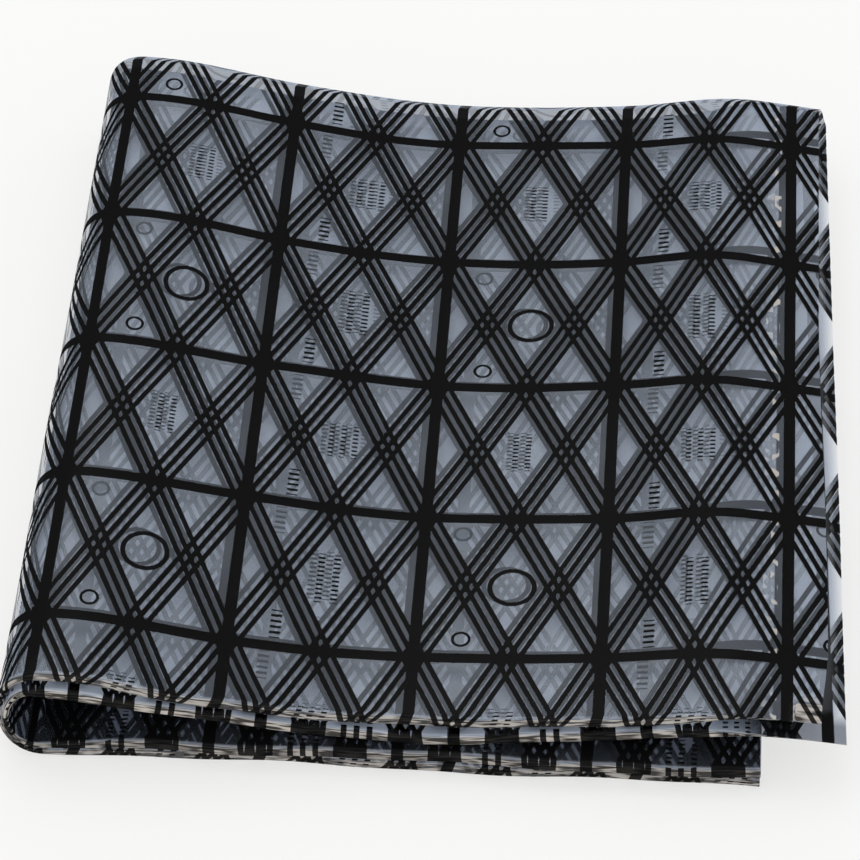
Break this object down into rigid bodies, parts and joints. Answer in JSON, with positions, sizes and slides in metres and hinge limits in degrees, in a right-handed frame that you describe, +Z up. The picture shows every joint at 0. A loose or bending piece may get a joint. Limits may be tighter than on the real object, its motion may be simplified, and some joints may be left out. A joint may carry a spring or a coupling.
{
  "type": "anti-static grid bag",
  "caption": "Clear film bag with a black conductive grid print, sealed at one end and folded over on itself, springy at the fold.",
  "frame": {"origin": "bottom centre of the folded bag's bounding box, on the surface that it lies on", "axes": "+X from the springy fold to the sealed end and the mouth, +Y along the fold to the edge with the lengthwise fold, +Z up"},
  "size_m": [0.1416, 0.1566, 0.0209],
  "materials": {
    "film": "clear hazy polyethylene film, glossy",
    "ink": "black carbon ink, satin"
  },
  "bodies": {
    "root": {"bag_film": "film", "grid_print": "ink"}
  },
  "joints": []
}
